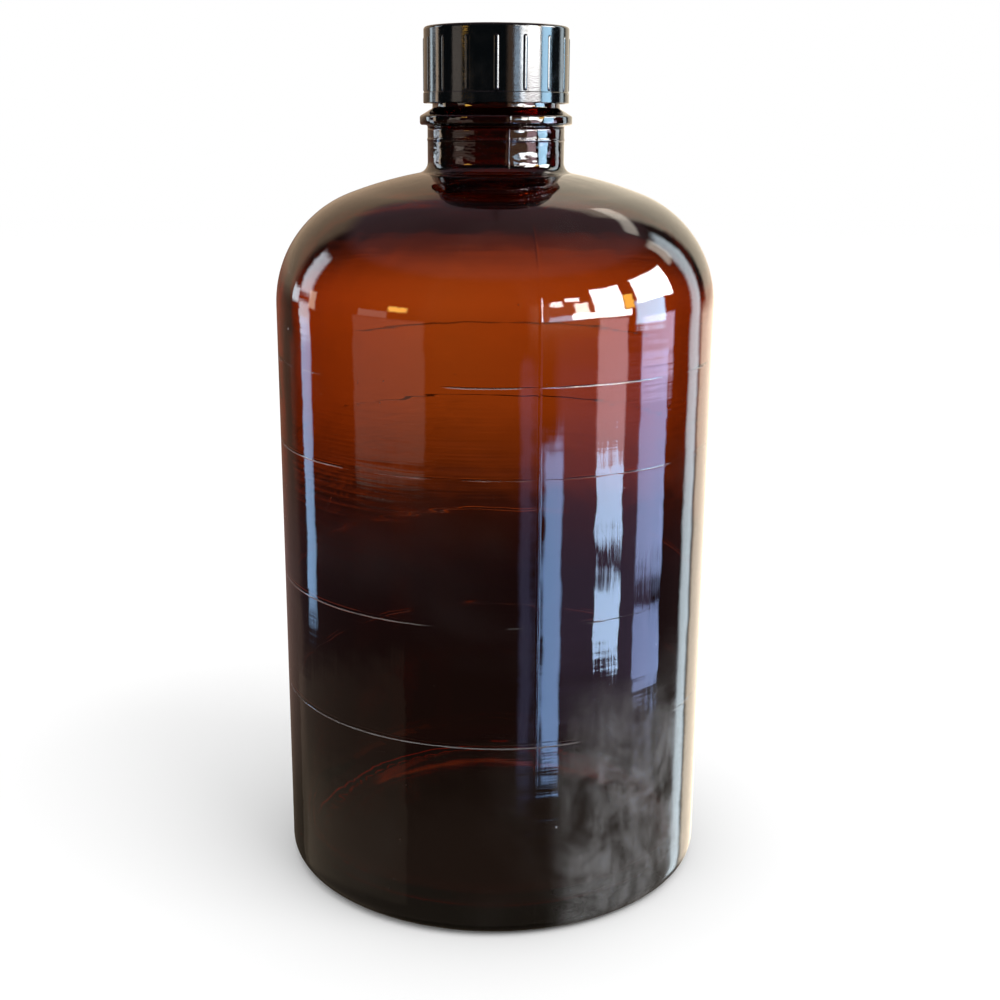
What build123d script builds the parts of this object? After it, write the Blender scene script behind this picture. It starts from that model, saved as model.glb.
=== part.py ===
"""Amber glass growler with a black ribbed screw cap and a cone seal.

Millimetres, +Z up. The origin is the centre of the bearing ring that the bottle stands on.
Three separate pieces: the blown glass bottle with its threaded finish, the moulded screw
cap, and the soft cone seal that sits in the cap and plugs the mouth of the bottle.
"""

import os
from math import acos, cos, degrees, pi, radians, sin

from build123d import *

# --- Bottle body -------------------------------------------------------------------------
BODY_RADIUS = 62.0
WALL = 3.4
HEEL_RADIUS = 4.5  # outer rounding where the wall turns under
BEARING_INNER_RADIUS = 50.0  # the foot is a flat ring from here out to the heel
PUNT_HEIGHT = 4.5  # how far the underside is pushed up at its centre
FLOOR_THICKNESS = 5.5
INNER_HEEL_RADIUS = 10.0
SHOULDER_START = 166.5  # top of the straight wall
SHOULDER_RADIUS = 32.4  # the tight curve at the edge of the shoulder
DOME_RADIUS = 115.1  # the flatter curve that runs in to the neck

# --- Neck and finish ---------------------------------------------------------------------
NECK_RADIUS = 19.0
NECK_FILLET = 3.0
BORE_RADIUS = 13.5
BORE_FLARE = 5.0
NECK_SEAM_HEIGHT = 211.4  # the fine raised line where the neck mould meets the body mould
NECK_SEAM_WIDTH = 0.8
NECK_SEAM_PROUD = 0.12
BEAD_RADIUS = 21.1  # the transfer bead, a heavy ring below the cap
BEAD_BOTTOM = 215.3
BEAD_SHOULDER = 218.0
BEAD_TOP = 219.5
BEAD_ROUND = 0.7
BEAD_SLOPE_ANGLE = 65.0  # where the round of the bead's top edge gives way to its slope
COLLAR_RADIUS = 17.6  # the glass between the threads
LAND_HEIGHT = 238.6  # the sealing face at the top of the glass
LAND_OUTER_ROUND = 1.4
LAND_INNER_ROUND = 0.9

# --- Screw thread, right hand, six turns to the inch ---------------------------------------
PITCH = 25.4 / 6
GLASS_THREAD_CREST = 18.6
GLASS_THREAD_WIDTH = 2.4
GLASS_THREAD_START = 227.4  # height of the ridge's middle at the start of its full height
GLASS_THREAD_TURNS = 2.0
GLASS_THREAD_ROOT = 0.5  # how far the ridge is rooted in the glass
GLASS_THREAD_SINK = 0.1  # how far below the surface its ends finish
CAP_THREAD_CREST = 17.95
CAP_THREAD_ROOT_WIDTH = 1.8
CAP_THREAD_CREST_WIDTH = 0.8
CAP_THREAD_DROP = 1.72  # the cap's ridge runs this far below the glass one
CAP_THREAD_FROM = -0.25  # in turns, counted from where the glass ridge starts
CAP_THREAD_TO = 1.4
CAP_THREAD_ROOT = 0.14  # the skirt is thin, so its ridge is rooted and sunk much less
CAP_THREAD_SINK = 0.01
RUN_OUT_TURNS = 0.08  # each ridge fades into its wall over this part of a turn
POINTS_PER_TURN = 24

# --- Cap -----------------------------------------------------------------------------------
CAP_BOTTOM = 221.1
CAP_TOP = 241.2
CAP_PLATE = 1.95
CAP_RADIUS = 19.93
CAP_ROOT_RADIUS = 18.85  # inside of the skirt, between the threads
CAP_EDGE_ROUND = 0.8
BAND_TOP = 224.0  # the plain band at the foot of the skirt is a little proud
BAND_PROUD = 0.18
MOUTH_CHAMFER = 0.35
RIB_COUNT = 16
RIB_BOTTOM = 223.7
RIB_TOP = 238.8
RIB_HALF_WIDTH = 0.63
RIB_PROUD = 0.21
RIB_ROOT = 0.4  # how far a rib is rooted in the skirt
CATCH_RADIUS = 18.25  # ring inside the skirt that holds the seal in
CATCH_BOTTOM = 237.75
CATCH_TOP = 238.3
GATE_RADIUS = 1.6  # moulding gate mark in the middle of the top
GATE_DEPTH = 0.15

# --- Cone seal -------------------------------------------------------------------------------
SEAL_FLANGE_RADIUS = 18.5
SEAL_TOP_GAP = 0.05
CONE_TOP_RADIUS = 13.2
CONE_BOTTOM_RADIUS = 10.9
CONE_DEPTH = 7.6
CONE_WALL = 0.9
CONE_LIP_ROUND = 0.35


def lathe(edges):
    """The solid made by turning a closed outline, drawn as (radius, height), about Z."""
    outline = make_face(Wire(Plane.XZ.location * edge for edge in edges))
    return revolve(outline, Axis.Z)


def arc(centre, radius, start_angle, end_angle):
    """An arc in (radius, height), its angles in degrees from the radial direction."""
    def at(angle):
        turn = radians(angle)
        return (centre[0] + radius * cos(turn), centre[1] + radius * sin(turn))

    middle = (start_angle + end_angle) / 2
    return ThreePointArc(at(start_angle), at(middle), at(end_angle))


def dished(radius, edge_height, rise):
    """The arc of a shallow dome about Z, from its middle out to that radius."""
    ball = (radius**2 + rise**2) / (2 * rise)
    return arc((0, edge_height + rise - ball), ball, 90, degrees(acos(radius / ball)))


def joined(pieces):
    """The arcs and straight runs of an outline, with a line across each gap, and closed."""
    edges = []
    for index, piece in enumerate(pieces):
        edges += piece.edges()
        following = pieces[(index + 1) % len(pieces)]
        if (piece @ 1 - following @ 0).length > 1e-6:
            edges += Line(piece @ 1, following @ 0).edges()
    return edges


def helix_path(radius, sink, base_height, from_turn, to_turn):
    """A right-hand helix whose ends move by sink across the wall, so the ridge fades out."""
    count = round((to_turn - from_turn + 2 * RUN_OUT_TURNS) * POINTS_PER_TURN)
    points = []
    for index in range(count + 1):
        share = index / count
        turn = from_turn - RUN_OUT_TURNS + share * (to_turn - from_turn + 2 * RUN_OUT_TURNS)
        past_end = max(from_turn - turn, turn - to_turn, 0) / RUN_OUT_TURNS
        reach = radius + sink * past_end**2
        angle = 2 * pi * turn
        height = base_height + PITCH * turn
        points.append((reach * cos(angle), reach * sin(angle), height))
    return Spline(*points)


def ridge(path, outline):
    """A thread ridge: the outline, drawn as (outward, up) from the path, swept along it."""
    along = path % 0
    outward = along.cross(Vector(0, 0, 1)).normalized()
    plane = Plane(path @ 0, x_dir=outward, z_dir=along * -1)
    return sweep(plane * make_face(outline), path=path, is_frenet=True)


def shoulder_turn():
    """The angle, in degrees, at which the shoulder's tight curve hands over to the dome."""
    return degrees(acos((BODY_RADIUS - SHOULDER_RADIUS) / (DOME_RADIUS - SHOULDER_RADIUS)))


def dome_centre():
    return SHOULDER_START - (DOME_RADIUS - SHOULDER_RADIUS) * sin(radians(shoulder_turn()))


def angle_at(radius, on_radius):
    """The angle, in degrees, of the point at that radius on a circle about the axis."""
    return degrees(acos(radius / on_radius))


def bottle_outside():
    """The outline from the middle of the underside out, up the wall and over to the land."""
    corner = (BODY_RADIUS - SHOULDER_RADIUS, SHOULDER_START)
    heel = (BODY_RADIUS - HEEL_RADIUS, HEEL_RADIUS)
    centre = (0, dome_centre())
    turn = shoulder_turn()
    fillet_reach = DOME_RADIUS + NECK_FILLET
    fillet_radius = NECK_RADIUS + NECK_FILLET
    fillet_angle = angle_at(fillet_radius, fillet_reach)
    fillet = (fillet_radius, centre[1] + fillet_reach * sin(radians(fillet_angle)))
    seam_low = (NECK_RADIUS, NECK_SEAM_HEIGHT - NECK_SEAM_WIDTH / 2)
    seam_middle = (NECK_RADIUS + NECK_SEAM_PROUD, NECK_SEAM_HEIGHT)
    seam_high = (NECK_RADIUS, NECK_SEAM_HEIGHT + NECK_SEAM_WIDTH / 2)
    bead_low = (BEAD_RADIUS - BEAD_ROUND, BEAD_BOTTOM + BEAD_ROUND)
    bead_high = (BEAD_RADIUS - BEAD_ROUND, BEAD_SHOULDER - BEAD_ROUND)
    land_edge = (COLLAR_RADIUS - LAND_OUTER_ROUND, LAND_HEIGHT - LAND_OUTER_ROUND)
    return [
        dished(BEARING_INNER_RADIUS, 0, PUNT_HEIGHT),
        arc(heel, HEEL_RADIUS, -90, 0),
        arc(corner, SHOULDER_RADIUS, 0, turn),
        arc(centre, DOME_RADIUS, turn, fillet_angle),
        arc(fillet, NECK_FILLET, fillet_angle - 180, -180),
        ThreePointArc(seam_low, seam_middle, seam_high),
        Line((NECK_RADIUS, BEAD_BOTTOM), (BEAD_RADIUS - BEAD_ROUND, BEAD_BOTTOM)),
        arc(bead_low, BEAD_ROUND, -90, 0),
        arc(bead_high, BEAD_ROUND, 0, BEAD_SLOPE_ANGLE),
        Line((COLLAR_RADIUS, BEAD_TOP), (COLLAR_RADIUS, LAND_HEIGHT - LAND_OUTER_ROUND)),
        arc(land_edge, LAND_OUTER_ROUND, 0, 90),
    ]


def bottle_inside():
    """The outline from the land down the bore, round the shoulder and in over the floor."""
    turn = shoulder_turn()
    centre = (0, dome_centre())
    inner_dome = DOME_RADIUS - WALL
    flare_reach = inner_dome + BORE_FLARE
    flare_radius = BORE_RADIUS + BORE_FLARE
    flare_angle = angle_at(flare_radius, flare_reach)
    flare = (flare_radius, centre[1] + flare_reach * sin(radians(flare_angle)))
    corner = (BODY_RADIUS - SHOULDER_RADIUS, SHOULDER_START)
    heel_radius = BODY_RADIUS - WALL - INNER_HEEL_RADIUS
    heel = (heel_radius, FLOOR_THICKNESS + INNER_HEEL_RADIUS)
    land_edge = (BORE_RADIUS + LAND_INNER_ROUND, LAND_HEIGHT - LAND_INNER_ROUND)
    return [
        arc(land_edge, LAND_INNER_ROUND, 90, 180),
        arc(flare, BORE_FLARE, 180, flare_angle + 180),
        arc(centre, inner_dome, flare_angle, turn),
        arc(corner, SHOULDER_RADIUS - WALL, turn, 0),
        arc(heel, INNER_HEEL_RADIUS, 0, -90),
        dished(heel_radius, FLOOR_THICKNESS, PUNT_HEIGHT).reversed(),
    ]


def make_bottle():
    glass = lathe(joined(bottle_outside() + bottle_inside()))
    half = GLASS_THREAD_WIDTH / 2
    height = GLASS_THREAD_CREST - COLLAR_RADIUS
    rooted = height + GLASS_THREAD_ROOT
    outline = [
        ThreePointArc((-height, -half), (0, 0), (-height, half)),
        Polyline((-height, half), (-rooted, half), (-rooted, -half), (-height, -half)),
    ]
    sink = -height - GLASS_THREAD_SINK
    path = helix_path(GLASS_THREAD_CREST, sink, GLASS_THREAD_START, 0, GLASS_THREAD_TURNS)
    return glass + ridge(path, outline)


def cap_shell():
    """The turned body of the cap, with its band, mouth chamfer, catch ring and gate mark."""
    edge = (CAP_RADIUS - CAP_EDGE_ROUND, CAP_TOP - CAP_EDGE_ROUND)
    band = CAP_RADIUS + BAND_PROUD
    ceiling = CAP_TOP - CAP_PLATE
    return lathe(
        joined(
            [
                arc(edge, CAP_EDGE_ROUND, 90, 0),
                Line((CAP_RADIUS, BAND_TOP), (band, BAND_TOP - BAND_PROUD)),
                Line((band, CAP_BOTTOM + BAND_PROUD), (band - BAND_PROUD, CAP_BOTTOM)),
                Line(
                    (CAP_ROOT_RADIUS + MOUTH_CHAMFER, CAP_BOTTOM),
                    (CAP_ROOT_RADIUS, CAP_BOTTOM + MOUTH_CHAMFER),
                ),
                Polyline(
                    (CAP_ROOT_RADIUS, CATCH_BOTTOM - (CAP_ROOT_RADIUS - CATCH_RADIUS)),
                    (CATCH_RADIUS, CATCH_BOTTOM),
                    (CATCH_RADIUS, CATCH_TOP),
                    (CAP_ROOT_RADIUS, CATCH_TOP),
                ),
                Line((CAP_ROOT_RADIUS, ceiling), (0, ceiling)),
                Line((0, CAP_TOP - GATE_DEPTH), (GATE_RADIUS - GATE_DEPTH, CAP_TOP - GATE_DEPTH)),
                Line((GATE_RADIUS, CAP_TOP), (CAP_RADIUS - CAP_EDGE_ROUND, CAP_TOP)),
            ]
        )
    )


def make_grip_rib():
    """One upright rib: the outer face of a round rod with ball ends, rooted in the skirt."""
    rod = (RIB_HALF_WIDTH**2 + RIB_PROUD**2) / (2 * RIB_PROUD)
    reach = CAP_RADIUS + RIB_PROUD - rod
    low, high = RIB_BOTTOM + rod, RIB_TOP - rod
    middle = (low + high) / 2
    body = Pos(reach, 0, middle) * Cylinder(rod, high - low)
    body += Pos(reach, 0, low) * Sphere(rod) + Pos(reach, 0, high) * Sphere(rod)
    return body - Pos(0, 0, middle) * Cylinder(CAP_RADIUS - RIB_ROOT, RIB_TOP - RIB_BOTTOM)


def make_cap():
    cap = cap_shell()
    rib = make_grip_rib()
    for index in range(RIB_COUNT):
        cap += Rot(0, 0, index * 360 / RIB_COUNT) * rib
    depth = CAP_ROOT_RADIUS - CAP_THREAD_CREST
    rooted = depth + CAP_THREAD_ROOT
    low, tip = CAP_THREAD_ROOT_WIDTH / 2, CAP_THREAD_CREST_WIDTH / 2
    outline = Polyline(
        (0, -tip), (0, tip), (depth, low), (rooted, low), (rooted, -low), (depth, -low), (0, -tip)
    )
    path = helix_path(
        CAP_THREAD_CREST,
        depth + CAP_THREAD_SINK,
        GLASS_THREAD_START - CAP_THREAD_DROP,
        CAP_THREAD_FROM,
        CAP_THREAD_TO,
    )
    return cap + ridge(path, outline)


def make_seal():
    """A flat flange that the land presses on, with a hollow cone hanging into the bore."""
    top = CAP_TOP - CAP_PLATE - SEAL_TOP_GAP
    lip_height = LAND_HEIGHT - CONE_DEPTH
    lip = CONE_BOTTOM_RADIUS - CONE_WALL / 2
    return lathe(
        joined(
            [
                Line((0, top), (SEAL_FLANGE_RADIUS, top)),
                Line((SEAL_FLANGE_RADIUS, LAND_HEIGHT), (CONE_TOP_RADIUS, LAND_HEIGHT)),
                ThreePointArc(
                    (CONE_BOTTOM_RADIUS, lip_height),
                    (lip, lip_height - CONE_LIP_ROUND),
                    (CONE_BOTTOM_RADIUS - CONE_WALL, lip_height),
                ),
                Line((CONE_TOP_RADIUS - CONE_WALL, LAND_HEIGHT), (0, LAND_HEIGHT)),
            ]
        )
    )


PARTS = {"glass_bottle": make_bottle, "screw_cap": make_cap, "cone_seal": make_seal}

os.makedirs("parts", exist_ok=True)
for name, make in PARTS.items():
    shape = make()
    export_step(shape, f"parts/{name}.step")
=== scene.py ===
"""Looks for the amber growler: moulded glass with its seams and marks, the glossy cap and the cone seal.

Everything is in metres, in the frame of the CAD model. The bottle that shows is one closed
lathe-like mesh made here, finer than the CAD solid that it stands for.
"""

from math import acos, cos, degrees, pi, radians, sin

import bpy
import numpy as np
from mathutils import Matrix, Vector


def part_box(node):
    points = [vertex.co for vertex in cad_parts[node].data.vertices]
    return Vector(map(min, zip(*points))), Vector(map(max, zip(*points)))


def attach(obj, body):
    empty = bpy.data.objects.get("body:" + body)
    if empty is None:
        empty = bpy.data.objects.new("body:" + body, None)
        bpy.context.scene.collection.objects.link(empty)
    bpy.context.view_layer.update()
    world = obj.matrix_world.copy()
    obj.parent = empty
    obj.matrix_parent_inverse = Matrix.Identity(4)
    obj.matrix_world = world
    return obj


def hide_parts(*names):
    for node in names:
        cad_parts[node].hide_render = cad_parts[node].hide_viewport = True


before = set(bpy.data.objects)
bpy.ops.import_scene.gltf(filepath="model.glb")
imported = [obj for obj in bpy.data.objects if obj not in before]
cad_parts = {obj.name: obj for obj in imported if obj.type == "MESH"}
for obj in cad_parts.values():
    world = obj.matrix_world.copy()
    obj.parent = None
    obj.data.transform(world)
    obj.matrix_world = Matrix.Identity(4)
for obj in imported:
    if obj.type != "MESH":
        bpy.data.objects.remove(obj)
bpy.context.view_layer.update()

MM = 0.001

# --- The bottle's dimensions, as in the CAD model, in millimetres ----------------------------------
BODY_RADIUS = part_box("glass_bottle")[1].x / MM
LAND_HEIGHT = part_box("glass_bottle")[1].z / MM
WALL = 3.4
HEEL_RADIUS = 4.5
BEARING_INNER_RADIUS = 50.0
PUNT_HEIGHT = 4.5
FLOOR_THICKNESS = 5.5
INNER_HEEL_RADIUS = 10.0
SHOULDER_START = 166.5
SHOULDER_RADIUS = 32.4
DOME_RADIUS = 115.1
NECK_RADIUS = 19.0
NECK_FILLET = 3.0
BORE_RADIUS = 13.5
BORE_FLARE = 5.0
NECK_SEAM_HEIGHT = 211.4
NECK_SEAM_ROUND = 0.75
NECK_SEAM_PROUD = 0.13
BEAD_RADIUS = 21.1
BEAD_BOTTOM = 215.3
BEAD_SHOULDER = 218.0
BEAD_TOP = 219.5
BEAD_ROUND = 0.7
BEAD_SLOPE_ANGLE = 65
COLLAR_RADIUS = 17.6
COLLAR_THREADED_FROM = 225.0
COLLAR_THREADED_TO = 237.1
LAND_OUTER_ROUND = 1.4
LAND_INNER_ROUND = 0.9
PITCH = 25.4 / 6
THREAD_CREST = 18.6
THREAD_HALF_WIDTH = 1.2
THREAD_START = 227.4
THREAD_TURNS = 2.0
THREAD_RUN_OUT = 0.08
CLOSE = 0.01  # millimetres: closer than this is the same place

# --- Fine marks that the mould and the making leave in the glass -----------------------------------
COLUMNS = 248
SEAM_ANGLES = (radians(-79.5), radians(100.5))  # the parting lines of the two mould halves
SEAM_HALF_WIDTH = 0.45
SEAM_PROUD = 0.1
OUTER_WAVE = 0.05
INNER_WAVE = 0.3
OUTER_SEED, INNER_SEED = 11, 23
STIPPLES = 62  # short grip marks round the bearing ring
STIPPLE_DEPTH = 0.3
WAVES_FROM, WAVES_FULL = 1, 13  # millimetres up: the waves fade in over the heel
WAVES_FADE, WAVES_TO = 187, 207  # and fade out below the neck
WAVES_FULL_RADIUS = 30  # and towards the axis
SEAM_FROM, SEAM_FULL = 2, 5
SEAM_FADE, SEAM_TO = 218.1, 220.1
RUB_LINES = (0.0561, 0.0895, 0.1287, 0.1523)  # metres: where neighbours have rubbed the wall
WANDER = 0.0008  # how far a rub line strays up and down, in metres
HAZE_ANGLE = radians(41)  # the dried haze low on the wall is thickest here, right of the front
HAZE_HALF, HAZE_HALF_EDGE = 0.26, 0.50  # radians to either side: full, and gone
HAZE_FULL, HAZE_TOP = 0.035, 0.085  # metres up: full below the first, gone above the second
NECK_FROM, NECK_FULL = 0.1975, 0.2015  # metres up: where the neck's look fades in
NECK_BUMP = 0.0005  # metres: the hot-pressed neck is less even than the blown body
NECK_PAINTED_SHADE = (0.34, 0.34, 0.37, 1)  # painted shade: the neck's glass colour is darkened so that the neck reads near black

# --- What the materials are set to -----------------------------------------------------------------
GLASS_CLEAR = (0.896, 0.529, 0.0575, 1)  # the colour that the glass lets through
GLASS_DENSITY = 800.0
GLASS_IOR = 1.52
GLASS_ROUGHNESS = 0.008
RUB_HALF_WIDTH = 0.00022
RUB_SHARE = 0.75
MARK_DEPTH = 0.00008  # metres: how deep rub lines, specks and ripple are
PEEL_DEPTH = 0.0005
SPECK_CELLS = 110.0  # cells a metre, of which about a quarter hold a speck
DUST_SHARE = 0.03
FILM_COLOUR = (0.66, 0.66, 0.70, 1)  # haze, dust, specks and rub marks together
FILM_ROUGHNESS = 0.30
FILM_COVER = 0.26
CAP_BLACK = (0.0012, 0.0018, 0.0024, 1)
CAP_WORN = (0.004, 0.0045, 0.005, 1)
CAP_ROUGHNESS = 0.07
CAP_WORN_ROUGHNESS = 0.09
CAP_IOR = 1.5
CAP_GRAIN_DEPTH = 0.00004
CAP_SCRATCH_DEPTH = 0.00003
SEAL_WHITE = (0.80, 0.80, 0.76, 1)
SEAL_PALE = (0.86, 0.85, 0.80, 1)
SEAL_TRANSLUCENCY = 0.3
SEAL_SPREAD = (0.004, 0.004, 0.003)
SEAL_SPREAD_SCALE = 0.6
SEAL_GRAIN_DEPTH = 0.00005

# --- The view and the studio -----------------------------------------------------------------------
CAMERA_DISTANCE = 6.5717 * BODY_RADIUS * MM
CAMERA_HEIGHT = 3.4620 * BODY_RADIUS * MM
CAMERA_PITCH = 0.2566
CAMERA_ROLL = 0.0048
CAMERA_LENS = 51.08
CAMERA_SHIFT = 0.00583
FLOOR_HALF = 3.0
FLOOR_DROP = 0.00005  # metres below the base, so that the two faces don't meet
FLOOR_COLOUR = (0.99, 0.99, 0.99, 1)
LAMP_PLACE = (0.7, -0.5, 1.1)
LAMP_AIM = (0, 0, 0.1)
LAMP_SIZE = (0.9, 0.7)
LAMP_WATTS = 6


# --- Outline helpers, in (radius, height) millimetres ----------------------------------------------
def arc(centre, radius, start, end, count):
    """Points along an arc, its angles in degrees from the radial direction."""
    turn = np.radians(np.linspace(start, end, count))
    return np.stack([centre[0] + radius * np.cos(turn), centre[1] + radius * np.sin(turn)], 1)


def run(start, end, count):
    """Evenly spaced points along a straight run."""
    share = np.linspace(0, 1, count)[:, None]
    return np.array(start) * (1 - share) + np.array(end) * share


def dish(radius, edge_height, rise, count):
    """Points of a shallow dome from its middle out to radius."""
    ball = (radius**2 + rise**2) / (2 * rise)
    return arc((0, edge_height + rise - ball), ball, 90, degrees(acos(radius / ball)), count)


def smooth(x):
    """0 below 0, 1 above 1, and a smooth rise between."""
    x = np.clip(x, 0, 1)
    return x * x * (3 - 2 * x)


def between(x, low, high):
    """0 at low and 1 at high, smoothly; low may be the greater."""
    return smooth((x - low) / (high - low))


# --- The bottle ------------------------------------------------------------------------------------
SHOULDER_TURN = degrees(acos((BODY_RADIUS - SHOULDER_RADIUS) / (DOME_RADIUS - SHOULDER_RADIUS)))
DOME_CENTRE = SHOULDER_START - (DOME_RADIUS - SHOULDER_RADIUS) * sin(radians(SHOULDER_TURN))


def outside_outline():
    """The outline from the middle of the underside up to the land. Threads come later.

    The last number of each run is how many points it has.
    """
    corner = (BODY_RADIUS - SHOULDER_RADIUS, SHOULDER_START)
    heel = (BODY_RADIUS - HEEL_RADIUS, HEEL_RADIUS)
    reach, radius = DOME_RADIUS + NECK_FILLET, NECK_RADIUS + NECK_FILLET
    angle = degrees(acos(radius / reach))
    fillet = (radius, DOME_CENTRE + reach * sin(radians(angle)))
    neck_seam = (NECK_RADIUS + NECK_SEAM_PROUD - NECK_SEAM_ROUND, NECK_SEAM_HEIGHT)
    bead_low = (BEAD_RADIUS - BEAD_ROUND, BEAD_BOTTOM + BEAD_ROUND)
    bead_high = (BEAD_RADIUS - BEAD_ROUND, BEAD_SHOULDER - BEAD_ROUND)
    land = (COLLAR_RADIUS - LAND_OUTER_ROUND, LAND_HEIGHT - LAND_OUTER_ROUND)
    return [
        dish(BEARING_INNER_RADIUS, 0, PUNT_HEIGHT, 12),
        run((BEARING_INNER_RADIUS + 0.6, 0), (BODY_RADIUS - HEEL_RADIUS - 0.6, 0), 9),
        arc(heel, HEEL_RADIUS, -90, 0, 10),
        run((BODY_RADIUS, HEEL_RADIUS + 3), (BODY_RADIUS, SHOULDER_START - 3), 46),
        arc(corner, SHOULDER_RADIUS, 0, SHOULDER_TURN, 26),
        arc((0, DOME_CENTRE), DOME_RADIUS, SHOULDER_TURN - 1, angle, 12)[1:],
        arc(fillet, NECK_FILLET, angle - 180, -180, 8),
        run((NECK_RADIUS, 206.6), (NECK_RADIUS, 210.8), 4),
        arc(neck_seam, NECK_SEAM_ROUND, -34, 34, 7),
        run((NECK_RADIUS, 212.0), (NECK_RADIUS, BEAD_BOTTOM - 0.5), 4),
        arc((NECK_RADIUS + 0.5, BEAD_BOTTOM - 0.5), 0.5, 180, 90, 5),
        run((NECK_RADIUS + 0.8, BEAD_BOTTOM), (BEAD_RADIUS - BEAD_ROUND - 0.1, BEAD_BOTTOM), 2),
        arc(bead_low, BEAD_ROUND, -90, 0, 7),
        arc(bead_high, BEAD_ROUND, 0, BEAD_SLOPE_ANGLE, 6),
        run((BEAD_RADIUS - 1.0, BEAD_SHOULDER + 0.28), (COLLAR_RADIUS + 0.7, BEAD_TOP - 0.12), 3),
        arc((COLLAR_RADIUS + 0.6, BEAD_TOP + 0.6), 0.6, 240, 180, 4),
        run((COLLAR_RADIUS, BEAD_TOP + 1.2), (COLLAR_RADIUS, COLLAR_THREADED_FROM), 3),
        run((COLLAR_RADIUS, COLLAR_THREADED_FROM + 0.4), (COLLAR_RADIUS, COLLAR_THREADED_TO), 46),
        arc(land, LAND_OUTER_ROUND, 0, 90, 7),
    ]


def inside_outline():
    """The outline from the land down the bore and round the inside to the middle of the floor."""
    dome = DOME_RADIUS - WALL
    reach, radius = dome + BORE_FLARE, BORE_RADIUS + BORE_FLARE
    angle = degrees(acos(radius / reach))
    flare = (radius, DOME_CENTRE + reach * sin(radians(angle)))
    corner = (BODY_RADIUS - SHOULDER_RADIUS, SHOULDER_START)
    heel_edge = BODY_RADIUS - WALL - INNER_HEEL_RADIUS
    heel = (heel_edge, FLOOR_THICKNESS + INNER_HEEL_RADIUS)
    land = (BORE_RADIUS + LAND_INNER_ROUND, LAND_HEIGHT - LAND_INNER_ROUND)
    inner = BODY_RADIUS - WALL
    return [
        arc(land, LAND_INNER_ROUND, 90, 180, 6),
        run((BORE_RADIUS, LAND_HEIGHT - 3), (BORE_RADIUS, flare[1] + 1), 14),
        arc(flare, BORE_FLARE, 180, angle + 180, 7),
        arc((0, DOME_CENTRE), dome, angle, SHOULDER_TURN - 1, 12)[:-1],
        arc(corner, SHOULDER_RADIUS - WALL, SHOULDER_TURN, 0, 22),
        run((inner, SHOULDER_START - 3), (inner, heel[1] + 3), 40),
        arc(heel, INNER_HEEL_RADIUS, 0, -90, 10),
        dish(heel_edge, FLOOR_THICKNESS, PUNT_HEIGHT, 10)[::-1][1:],
    ]


def column_angles():
    """Angles round the bottle: even, with a few more on each mould seam."""
    even = np.arange(COLUMNS) * 2 * pi / COLUMNS
    across = SEAM_HALF_WIDTH / BODY_RADIUS
    near = [s % (2 * pi) + across * k for s in SEAM_ANGLES for k in (-1.6, -1, -0.5, 0, 0.5, 1, 1.6)]
    keep = [a for a in even if min(abs(a - other) for other in near) > across]
    return np.sort(np.array(keep + near))


def waves(angle, height, seed, amplitude):
    """A gentle unevenness that closes on itself round the bottle, in millimetres."""
    rng = np.random.default_rng(seed)
    total = np.zeros(np.broadcast(angle, height).shape)
    for turns in (1, 2, 3, 5, 7, 9, 12, 16):
        for _ in range(2):
            rate = rng.uniform(-0.05, 0.05)
            phase = rng.uniform(0, 2 * pi)
            total += np.sin(turns * angle + rate * height + phase) * rng.uniform(0.5, 1) / turns**0.8
    return total * amplitude / 3


def seam_rise(angle):
    """How proud the mould seams make the surface at an angle."""
    rise = 0
    for seam in SEAM_ANGLES:
        off = (angle - seam + pi) % (2 * pi) - pi
        rise = rise + np.exp(-((off * BODY_RADIUS / (SEAM_HALF_WIDTH * 0.6)) ** 2))
    return rise * SEAM_PROUD


def thread_rise(angle, height):
    """The rounded ridge of the screw thread above the collar, with its faded ends."""
    rise = np.zeros(np.broadcast(angle, height).shape)
    crest = THREAD_CREST - COLLAR_RADIUS
    for turn in range(-1, int(THREAD_TURNS) + 2):
        along = turn + angle / (2 * pi)
        off = (height - THREAD_START - PITCH * along) / THREAD_HALF_WIDTH
        body = np.clip(1 - off**2, 0, 1) ** 0.8
        start = smooth((along + THREAD_RUN_OUT) / THREAD_RUN_OUT)
        end = smooth((THREAD_TURNS + THREAD_RUN_OUT - along) / THREAD_RUN_OUT)
        rise = np.maximum(rise, crest * body * start * end)
    return rise


def revolved(name, rows, points):
    """A closed mesh from rows of points: the first and last row are single points on the axis."""
    count = points.shape[1]
    vertices = [points[0, 0]] + [p for row in points[1:-1] for p in row] + [points[-1, 0]]
    faces = []
    inner_rows = len(rows) - 2
    for column in range(count):
        following = (column + 1) % count
        faces.append((0, 1 + following, 1 + column))
        for row in range(inner_rows - 1):
            low, high = 1 + row * count, 1 + (row + 1) * count
            faces.append((low + column, low + following, high + following, high + column))
        last = 1 + (inner_rows - 1) * count
        faces.append((last + column, last + following, len(vertices) - 1))
    mesh = bpy.data.meshes.new(name)
    mesh.from_pydata([tuple(v) for v in vertices], [], faces)
    mesh.shade_smooth()
    piece = bpy.data.objects.new(name, mesh)
    bpy.context.scene.collection.objects.link(piece)
    return piece


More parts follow.
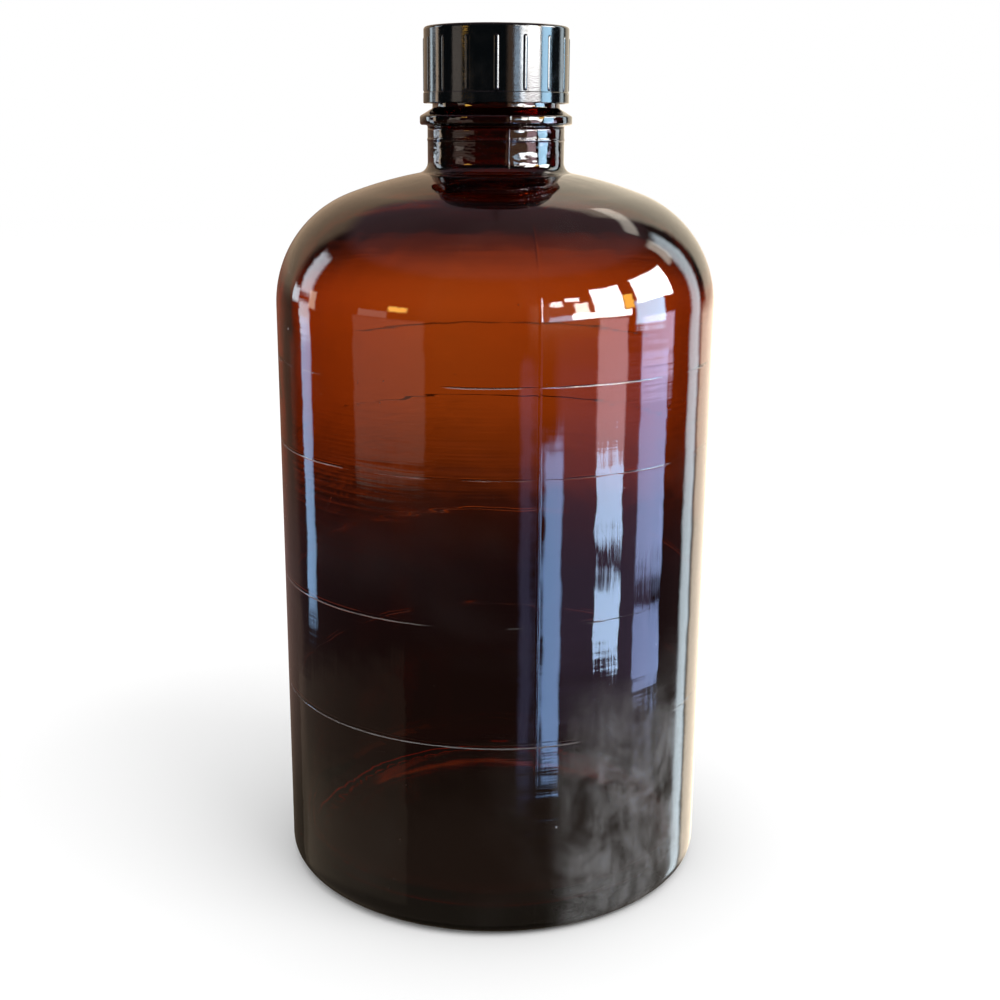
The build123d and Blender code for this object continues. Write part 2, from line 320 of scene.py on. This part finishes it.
def make_bottle():
    """The bottle as one closed mesh, outside and inside, with seams, threads and grip marks."""
    outside = np.concatenate(outside_outline())
    inside = np.concatenate(inside_outline())
    rows = np.concatenate([outside, inside])
    angle = column_angles()[None, :]
    radius = np.repeat(rows[:, :1], angle.shape[1], 1)
    height = np.repeat(rows[:, 1:], angle.shape[1], 1)
    outer = (np.arange(len(rows)) < len(outside))[:, None]
    on_body = between(height, WAVES_FROM, WAVES_FULL) * between(height, WAVES_TO, WAVES_FADE)
    off_axis = between(radius, 0, WAVES_FULL_RADIUS)
    wave = np.where(
        outer,
        waves(angle, height, OUTER_SEED, OUTER_WAVE) - OUTER_WAVE / 2,
        waves(angle, height, INNER_SEED, INNER_WAVE),
    )
    radius = radius + wave * on_body * off_axis
    seam_part = outer * between(height, SEAM_FROM, SEAM_FULL) * between(height, SEAM_TO, SEAM_FADE)
    radius = radius + seam_rise(angle) * seam_part
    on_collar = outer * (height > COLLAR_THREADED_FROM) * (radius > COLLAR_RADIUS - CLOSE)
    radius = radius + thread_rise(angle, height) * on_collar
    ring_inner, ring_outer = BEARING_INNER_RADIUS + 1, BODY_RADIUS - HEEL_RADIUS - 1
    on_ring = outer * (height < CLOSE) * between(radius, ring_inner, ring_inner + 1)
    on_ring = on_ring * between(radius, ring_outer, ring_outer - 1)
    mark = smooth(0.5 + 1.2 * np.cos(STIPPLES * angle))
    height = height + on_ring * STIPPLE_DEPTH * (1 - mark)
    points = np.stack([radius * np.cos(angle), radius * np.sin(angle), height], 2) * MM
    return revolved("amber_bottle", rows, points)


# --- Material helpers ------------------------------------------------------------------------------
class Nodes:
    """A thin layer over a node tree, so that a material reads as a few lines."""

    def __init__(self, tree):
        self.tree = tree
        tree.nodes.clear()

    def add(self, kind, inputs=(), **settings):
        node = self.tree.nodes.new("ShaderNode" + kind)
        for key, value in settings.items():
            setattr(node, key, value)
        for key, value in dict(inputs).items():
            self.put(node.inputs[key], value)
        return node

    def put(self, socket, value):
        if isinstance(value, bpy.types.NodeSocket):
            self.tree.links.new(value, socket)
        else:
            socket.default_value = value

    def maths(self, operation, *values):
        return self.add("Math", dict(enumerate(values)), operation=operation).outputs[0]

    def ramp(self, value, low, high, to_low=0.0, to_high=1.0):
        """value mapped smoothly from low..high to to_low..to_high."""
        names = {"Value": value, "From Min": low, "From Max": high, "To Min": to_low, "To Max": to_high}
        return self.add("MapRange", names, interpolation_type="SMOOTHSTEP").outputs[0]

    def noise(self, vector, scale, detail=3.0, roughness=0.5, distortion=0.0):
        names = {"Vector": vector, "Scale": scale, "Detail": detail, "Roughness": roughness}
        return self.add("TexNoise", {**names, "Distortion": distortion}).outputs["Fac"]

    def stretched(self, vector, scale):
        return self.add("Mapping", {"Vector": vector, "Scale": scale}).outputs[0]

    def scaled(self, colour, by):
        node = self.add("VectorMath", {"Scale": by}, operation="SCALE")
        self.put(node.inputs[0], colour)
        return node.outputs[0]

    def table(self, angle, stops):
        """The colour at an angle above the horizon, from a table of (degrees, colour)."""
        share = self.maths("ADD", self.maths("DIVIDE", angle, pi), 0.5)
        node = self.add("ValToRGB", {"Fac": share})
        marks = node.color_ramp.elements
        while len(marks) < len(stops):
            marks.new(1.0)
        for mark, (degree, colour) in zip(marks, stops):
            mark.position = degree / 180 + 0.5
            mark.color = (*colour, 1)
        return node.outputs[0]

    def mixed(self, share, first, second):
        node = self.add("Mix", {"Factor": share}, data_type="RGBA")
        self.put(node.inputs[6], first)
        self.put(node.inputs[7], second)
        return node.outputs[2]

    def bump(self, height, distance, strength=1.0, normal=None):
        node = self.add("Bump", {"Height": height, "Distance": distance, "Strength": strength})
        if normal is not None:
            self.put(node.inputs["Normal"], normal)
        return node.outputs[0]


def new_material(name):
    material = bpy.data.materials.new(name)
    material.use_nodes = True
    return material, Nodes(material.node_tree)


def line_round(nodes, height, level, half_width):
    """1 on a thin line round the bottle at a level, in metres."""
    off = nodes.maths("ABSOLUTE", nodes.maths("SUBTRACT", height, level))
    return nodes.ramp(off, 0.0, half_width, 1.0, 0.0)


def amber_glass():
    """Amber glass, coloured by its depth, with ripple, rub lines, specks, scuffs and dried haze."""
    material, nodes = new_material("amber_glass_detailed")
    place = nodes.add("TexCoord").outputs["Object"]
    axes = nodes.add("SeparateXYZ", {0: place})
    height = axes.outputs[2]
    angle = nodes.maths("ARCTAN2", axes.outputs[0], nodes.maths("MULTIPLY", axes.outputs[1], -1.0))

    ripple = nodes.noise(nodes.stretched(place, (14, 14, 420)), 1.0, 2.0)
    ripple_here = nodes.ramp(nodes.noise(place, 16.0, 2.0), 0.40, 0.62)
    orange_peel = nodes.noise(place, 45.0, 2.0)
    wander = nodes.maths("MULTIPLY", nodes.noise(place, 30.0, 2.0), WANDER)
    wandering = nodes.maths("ADD", height, wander)
    worn = nodes.ramp(nodes.noise(place, 30.0, 3.0, 0.6), 0.42, 0.54)
    lines = 0.0
    for level in RUB_LINES:
        line = line_round(nodes, wandering, level + WANDER / 2, RUB_HALF_WIDTH)
        lines = nodes.maths("MAXIMUM", lines, line)
    lines = nodes.maths("MULTIPLY", lines, worn)

    cells = nodes.add("TexVoronoi", {"Vector": place, "Scale": SPECK_CELLS})
    chosen = nodes.ramp(nodes.add("SeparateColor", {0: cells.outputs["Color"]}).outputs[0], 0.72, 0.74)
    specks = nodes.maths("MULTIPLY", chosen, nodes.ramp(cells.outputs["Distance"], 0.02, 0.045, 1.0, 0.0))

    low_part = nodes.ramp(height, HAZE_FULL, HAZE_TOP, 1.0, 0.0)
    aside = nodes.maths("ABSOLUTE", nodes.maths("SUBTRACT", angle, HAZE_ANGLE))
    side_part = nodes.ramp(aside, HAZE_HALF, HAZE_HALF_EDGE, 1.0, 0.0)
    cloud = nodes.noise(place, 40.0, 7.0, 0.66, 0.8)
    wisps = nodes.noise(nodes.stretched(place, (150, 150, 45)), 1.0, 4.0, 0.6, 0.3)
    cloudy = nodes.ramp(cloud, 0.36, 0.66, 0.08, 0.72)
    wispy = nodes.ramp(wisps, 0.30, 0.68, 0.40, 1.0)
    haze = nodes.maths("MULTIPLY", cloudy, wispy)
    haze = nodes.maths("MULTIPLY", haze, nodes.maths("MULTIPLY", low_part, side_part))
    dusty = nodes.ramp(nodes.noise(place, 18.0, 4.0, 0.6, 0.4), 0.50, 0.80)
    dust = nodes.maths("MULTIPLY", dusty, DUST_SHARE)
    film = nodes.maths("MAXIMUM", haze, dust)
    film = nodes.maths("MAXIMUM", film, nodes.maths("MULTIPLY", lines, RUB_SHARE))
    film = nodes.maths("MINIMUM", nodes.maths("ADD", film, specks), 1.0)

    normal = nodes.bump(nodes.maths("MULTIPLY", ripple, ripple_here), MARK_DEPTH, 0.5)
    normal = nodes.bump(orange_peel, PEEL_DEPTH, 0.35, normal)
    neck_part = nodes.ramp(height, NECK_FROM, NECK_FULL)
    dents = nodes.noise(nodes.stretched(place, (110, 110, 170)), 1.0, 3.0, 0.55)
    normal = nodes.bump(nodes.maths("MULTIPLY", dents, neck_part), NECK_BUMP, 0.5, normal)
    normal = nodes.bump(nodes.maths("ADD", lines, specks), MARK_DEPTH, 0.4, normal)
    # painted shade: the glass colour is darkened on the neck, so the neck reads near black
    clear = nodes.mixed(neck_part, (1, 1, 1, 1), NECK_PAINTED_SHADE)
    roughness = nodes.maths("ADD", GLASS_ROUGHNESS, nodes.maths("MULTIPLY", film, FILM_ROUGHNESS))
    clearness = nodes.maths("SUBTRACT", 1.0, nodes.maths("MULTIPLY", film, FILM_COVER))
    shader = nodes.add(
        "BsdfPrincipled",
        {
            "Base Color": nodes.mixed(film, clear, FILM_COLOUR),
            "Roughness": roughness,
            "Transmission Weight": clearness,
            "IOR": GLASS_IOR,
            "Normal": normal,
        },
    )
    inside = nodes.add("VolumeAbsorption", {"Color": GLASS_CLEAR, "Density": GLASS_DENSITY})
    out = nodes.add("OutputMaterial")
    nodes.put(out.inputs["Surface"], shader.outputs[0])
    nodes.put(out.inputs["Volume"], inside.outputs[0])
    return material


def cap_plastic():
    """Glossy black moulded plastic, with a fine moulding texture, dust and handling marks."""
    material, nodes = new_material("cap_plastic_detailed")
    place = nodes.add("TexCoord").outputs["Object"]
    cloud = nodes.noise(place, 160.0, 4.0, 0.6, 0.5)
    grain = nodes.noise(place, 2600.0, 2.0, 0.6)
    scratches = nodes.noise(nodes.stretched(place, (900, 900, 4000)), 1.0, 2.0, 0.6)
    wear = nodes.ramp(cloud, 0.45, 0.75)
    normal = nodes.bump(grain, CAP_GRAIN_DEPTH, 0.25)
    normal = nodes.bump(scratches, CAP_SCRATCH_DEPTH, 0.3, normal)
    roughness = nodes.maths("ADD", CAP_ROUGHNESS, nodes.maths("MULTIPLY", wear, CAP_WORN_ROUGHNESS))
    shader = nodes.add(
        "BsdfPrincipled",
        {
            "Base Color": nodes.mixed(wear, CAP_BLACK, CAP_WORN),
            "Roughness": roughness,
            "IOR": CAP_IOR,
            "Normal": normal,
        },
    )
    nodes.put(nodes.add("OutputMaterial").inputs["Surface"], shader.outputs[0])
    return material


def seal_plastic():
    """Soft translucent white plastic, a little waxy."""
    material, nodes = new_material("seal_plastic_detailed")
    place = nodes.add("TexCoord").outputs["Object"]
    cloud = nodes.noise(place, 140.0, 3.0)
    grain = nodes.noise(place, 1800.0, 2.0)
    shader = nodes.add(
        "BsdfPrincipled",
        {
            "Base Color": nodes.mixed(cloud, SEAL_WHITE, SEAL_PALE),
            "Roughness": nodes.ramp(cloud, 0.3, 0.7, 0.38, 0.52),
            "Subsurface Weight": SEAL_TRANSLUCENCY,
            "Subsurface Radius": SEAL_SPREAD,
            "Subsurface Scale": SEAL_SPREAD_SCALE,
            "Normal": nodes.bump(grain, SEAL_GRAIN_DEPTH, 0.3),
        },
    )
    nodes.put(nodes.add("OutputMaterial").inputs["Surface"], shader.outputs[0])
    return material


def clothe(piece, material):
    piece.data.materials.clear()
    piece.data.materials.append(material)


# --- Studio ----------------------------------------------------------------------------------------
# Soft lights all round, as seen in glass and gloss: name, direction and half width, height and half
# height above the horizon, all in degrees, edge softness, colour and strength.
SOFT_LIGHTS = [
    ("pane_small", 31.5, 2.8, 14.5, 2.2, 0.8, (1.0, 0.97, 0.92), 22.0),
    ("pane_slat", 40, 4.0, 17.5, 1.7, 0.8, (1.0, 1.0, 1.0), 24.0),
    ("pane_middle", 44.5, 4.0, 9.5, 4.6, 1.0, (1.0, 0.95, 0.86), 22.0),
    ("pane_large", 60, 8.5, 14, 10, 1.0, (1.0, 1.0, 1.0), 30.0),
    ("pane_right", 91, 13.5, 17, 8.5, 1.0, (1.0, 1.0, 1.0), 24.0),
    ("pane_low", 56, 17, 3.2, 2.3, 0.8, (1.0, 1.0, 1.0), 28.0),
    ("sill", 37, 9, 2.4, 2.0, 1.5, (0.50, 0.75, 1.0), 9.0),
    ("warm_edge", 72, 3.0, 11, 5, 1.5, (1.0, 0.55, 0.08), 16.0),
    ("shade_low", 117, 4.5, 29, 7, 3, (1.0, 0.93, 0.80), 3.2),
    ("shade_high", 138, 17, 43.5, 2.6, 2.5, (1.0, 0.93, 0.80), 2.6),
    ("warm_veil", 37, 19, 4, 11, 6, (1.0, 0.62, 0.40), 0.9),
    ("warm_lamp", -50, 5, 7.5, 1.8, 1.5, (1.0, 0.55, 0.10), 16.0),
    ("side_light", 86, 10, 2, 8, 2.5, (0.45, 0.75, 1.0), 16.0),
    ("key_low", 30.5, 4.5, -19, 6.5, 2.0, (0.33, 0.55, 1.0), 8.5),
    ("key_middle_high", 62, 8.0, -14.6, 1.8, 1.0, (0.49, 0.69, 1.0), 15.0),
    ("key_middle_low", 62, 8.0, -19.4, 1.8, 1.0, (0.49, 0.69, 1.0), 15.0),
    ("key_middle_top", 62, 8.5, -6.5, 6.5, 2.0, (1.0, 0.66, 0.72), 5.0),
    ("key_right_high", 90, 10, -13, 4.4, 2.0, (0.43, 0.56, 1.0), 7.0),
    ("key_right_low", 90, 10, -20.6, 1.6, 1.0, (0.40, 0.54, 1.0), 6.0),
    ("key_right_top", 92, 12, -5.5, 4.0, 2.5, (0.82, 0.70, 1.0), 6.0),
    ("haze_right", 62, 30, -16, 7, 6, (0.70, 0.55, 1.0), 0.55),
    ("thin_streak", 16, 3, -18, 8, 3, (0.45, 0.50, 1.0), 0.8),
    ("edge_right", 126, 5.5, 0, 34, 5, (0.78, 0.92, 1.0), 3.4),
    ("wall_right_low", 157.5, 23, -18, 13, 6, (1.0, 0.86, 0.68), 2.0),
    ("wall_right_high", 162, 22, 24, 28, 6, (1.0, 0.86, 0.66), 1.15),
    ("panel_left", -56, 20, -7, 6.5, 2.0, (1.0, 0.80, 0.66), 0.62),
    ("cap_panel", -64, 8.5, 2.6, 2.6, 1.5, (1.0, 0.86, 0.74), 1.5),
    ("tan_left", -107, 3.0, 3, 5, 2, (1.0, 0.78, 0.58), 4.0),
    ("strip_cap", -124, 3.5, 2.2, 3.2, 2, (0.75, 0.90, 1.0), 4.5),
    ("table", 0, 130, -42, 16, 5, (1.0, 0.80, 0.62), 0.12),
    ("table_left", -92, 44, -26, 4.6, 2, (1.0, 0.80, 0.58), 0.11),
    ("strip_left_low", -114.5, 4.5, -13, 6, 2.5, (0.36, 0.62, 1.0), 4.2),
    ("strip_left_middle", -114.5, 5.0, -3.8, 4, 2.5, (0.80, 0.90, 1.0), 4.2),
    ("strip_left_high", -114.5, 5.5, 15.5, 11, 4, (0.80, 0.90, 1.0), 4.6),
    ("wall_left_low", -154, 26, -12, 12, 8, (1.0, 0.62, 0.46), 0.13),
    ("wall_left_high", -154, 26, 20, 19, 10, (1.0, 0.70, 0.46), 0.62),
    ("ceiling", 0, 180, 67, 28, 9, (1.0, 0.62, 0.74), 0.24),
]
RAGGED = radians(4.0)  # how far the lights' upright edges wander, like blinds and branches
JAGGED = radians(3.0)  # and their level edges
THROUGH_SHARE = 0.012  # how much of the lights in front shows through the glass, against in its gloss
FRONT_GLOW = 0.6  # how bright the glow below is in front, where it shows through from behind
# Brightness seen through the glass at each height above the horizon, in degrees.
GLOW = [
    (-90, 0.012),
    (-40, 0.010),
    (-30, 0.006),
    (-17.7, 0.007),
    (-14.9, 0.04),
    (-13.5, 0.19),
    (-12.1, 0.285),
    (-10.7, 0.40),
    (-9.3, 0.43),
    (-7.9, 0.49),
    (-6.5, 0.60),
    (-4.5, 0.52),
    (-3.4, 0.42),
    (-2.2, 0.30),
    (-1.2, 0.16),
    (0.3, 0.12),
    (2.2, 0.02),
    (20, 0.004),
    (90, 0.06),
]
# Colour of the unlit room in gloss, at each height above the horizon, in degrees.
ROOM = [
    (-90, (0.08, 0.062, 0.045)),
    (-26, (0.08, 0.062, 0.045)),
    (-17, (0.10, 0.06, 0.07)),
    (-12, (0.09, 0.03, 0.012)),
    (-5, (0.09, 0.03, 0.012)),
    (1, (0.02, 0.024, 0.024)),
    (90, (0.05, 0.05, 0.05)),
]
BACKGROUND = (1.0, 1.0, 1.0, 1)
# Where the glow stands, in degrees round from the front: behind, between GLOW_RIGHT and GLOW_LEFT,
# and in front within GLOW_AHEAD. Each pair is where its soft edge starts and ends.
GLOW_LEFT = (-161, -148)
GLOW_RIGHT = (126, 148)
GLOW_AHEAD = (70, 100)
THROUGH_EDGE = (115, 125)  # lights further round than this show in gloss only


def light_share(nodes, value, centre, half, edge):
    """1 inside centre +- half, falling smoothly to 0 over the edge."""
    off = nodes.maths("ABSOLUTE", nodes.maths("SUBTRACT", value, radians(centre)))
    return nodes.ramp(off, radians(half - edge / 2), radians(half + edge / 2), 1.0, 0.0)


def make_world():
    """Plain white for the camera and for even light, and a soft-lit room for glass and gloss."""
    world = bpy.data.worlds.new("studio")
    world.use_nodes = True
    bpy.context.scene.world = world
    nodes = Nodes(world.node_tree)
    axes = nodes.add("SeparateXYZ", {0: nodes.add("TexCoord").outputs["Generated"]})
    backwards = nodes.maths("MULTIPLY", axes.outputs[1], -1.0)
    azimuth = nodes.maths("ARCTAN2", axes.outputs[0], backwards)
    elevation = nodes.maths("ARCSINE", axes.outputs[2])
    path = nodes.add("LightPath")

    spread = nodes.add("CombineXYZ", {"X": azimuth, "Y": elevation}).outputs[0]
    sideways = nodes.noise(nodes.stretched(spread, (5, 60, 1)), 1.0, 4.0, 0.65)
    upwards = nodes.noise(nodes.stretched(spread, (70, 6, 1)), 1.0, 3.0, 0.65)
    ragged = nodes.maths("MULTIPLY_ADD", nodes.maths("SUBTRACT", sideways, 0.5), RAGGED, azimuth)
    jagged = nodes.maths("MULTIPLY_ADD", nodes.maths("SUBTRACT", upwards, 0.5), JAGGED, elevation)
    lights = nodes.table(elevation, ROOM)
    for name, side, half, rise, tall, edge, colour, strength in SOFT_LIGHTS:
        share = light_share(nodes, ragged, side, half, edge)
        share = nodes.maths("MULTIPLY", share, light_share(nodes, jagged, rise, tall, edge))
        share = nodes.maths("MULTIPLY", share, strength)
        lamp = nodes.scaled(colour, share)
        lamp.node.label = name
        lights = nodes.add("VectorMath", {0: lights, 1: lamp}, operation="ADD").outputs[0]

    through = path.outputs["Is Transmission Ray"]
    mirrored = path.outputs["Is Reflection Ray"]
    off_front = nodes.maths("ABSOLUTE", azimuth)
    in_front = nodes.ramp(off_front, *np.radians(THROUGH_EDGE), THROUGH_SHARE, 0.0)
    seen = nodes.maths("MAXIMUM", mirrored, nodes.maths("MULTIPLY", through, in_front))
    glow = nodes.table(elevation, [(height, (level,) * 3) for height, level in GLOW])
    on_left = nodes.ramp(azimuth, *np.radians(GLOW_LEFT), 1.0, 0.0)
    on_right = nodes.ramp(azimuth, *np.radians(GLOW_RIGHT))
    ahead = nodes.ramp(off_front, *np.radians(GLOW_AHEAD), FRONT_GLOW, 0.0)
    where = nodes.maths("ADD", nodes.maths("ADD", on_left, on_right), ahead)
    glow = nodes.scaled(glow, nodes.maths("MULTIPLY", through, where))
    total = nodes.add("VectorMath", {0: nodes.scaled(lights, seen), 1: glow}, operation="ADD").outputs[0]
    plain = nodes.maths("MAXIMUM", path.outputs["Is Camera Ray"], path.outputs["Is Diffuse Ray"])
    colour = nodes.mixed(plain, total, BACKGROUND)
    background = nodes.add("Background", {"Color": colour})
    nodes.put(nodes.add("OutputWorld").inputs["Surface"], background.outputs[0])


def make_floor():
    """A wide pale floor, which glass and gloss don't mirror."""
    mesh = bpy.data.meshes.new("floor")
    half = FLOOR_HALF
    corners = [(-half, -half, 0), (half, -half, 0), (half, half, 0), (-half, half, 0)]
    mesh.from_pydata(corners, [], [(0, 1, 2, 3)])
    floor = bpy.data.objects.new("floor", mesh)
    floor.location.z = -FLOOR_DROP
    bpy.context.scene.collection.objects.link(floor)
    material, nodes = new_material("pale_floor")
    shader = nodes.add("BsdfDiffuse", {"Color": FLOOR_COLOUR})
    nodes.put(nodes.add("OutputMaterial").inputs["Surface"], shader.outputs[0])
    clothe(floor, material)
    floor.visible_glossy = False
    floor.visible_transmission = False


def make_camera():
    data = bpy.data.cameras.new("camera")
    data.lens = CAMERA_LENS
    data.sensor_width = 36
    data.shift_x = CAMERA_SHIFT
    data.clip_start = 0.01
    camera = bpy.data.objects.new("camera", data)
    bpy.context.scene.collection.objects.link(camera)
    tilt = Matrix.Rotation(pi / 2 - CAMERA_PITCH, 4, "X") @ Matrix.Rotation(CAMERA_ROLL, 4, "Z")
    camera.matrix_world = Matrix.Translation((0, -CAMERA_DISTANCE, CAMERA_HEIGHT)) @ tilt
    bpy.context.scene.camera = camera


def make_key_light():
    data = bpy.data.lights.new("softbox", "AREA")
    data.shape = "RECTANGLE"
    data.size, data.size_y = LAMP_SIZE
    data.energy = LAMP_WATTS
    lamp = bpy.data.objects.new("softbox", data)
    lamp.location = LAMP_PLACE
    aim = Vector(LAMP_AIM) - lamp.location
    lamp.rotation_euler = aim.to_track_quat("-Z", "Y").to_euler()
    bpy.context.scene.collection.objects.link(lamp)
    lamp.visible_glossy = False
    lamp.visible_transmission = False
    lamp.visible_camera = False


# --- Putting it together ---------------------------------------------------------------------------
make_camera()
make_world()
make_floor()
make_key_light()

bottle = make_bottle()
clothe(bottle, amber_glass())
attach(bottle, "bottle")
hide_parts("glass_bottle")

clothe(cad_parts["screw_cap"], cap_plastic())
clothe(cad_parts["cone_seal"], seal_plastic())

scene = bpy.context.scene
scene.view_settings.view_transform = "Standard"
scene.cycles.max_bounces = 24
scene.cycles.transmission_bounces = 24
scene.cycles.caustics_refractive = False
scene.cycles.caustics_reflective = False
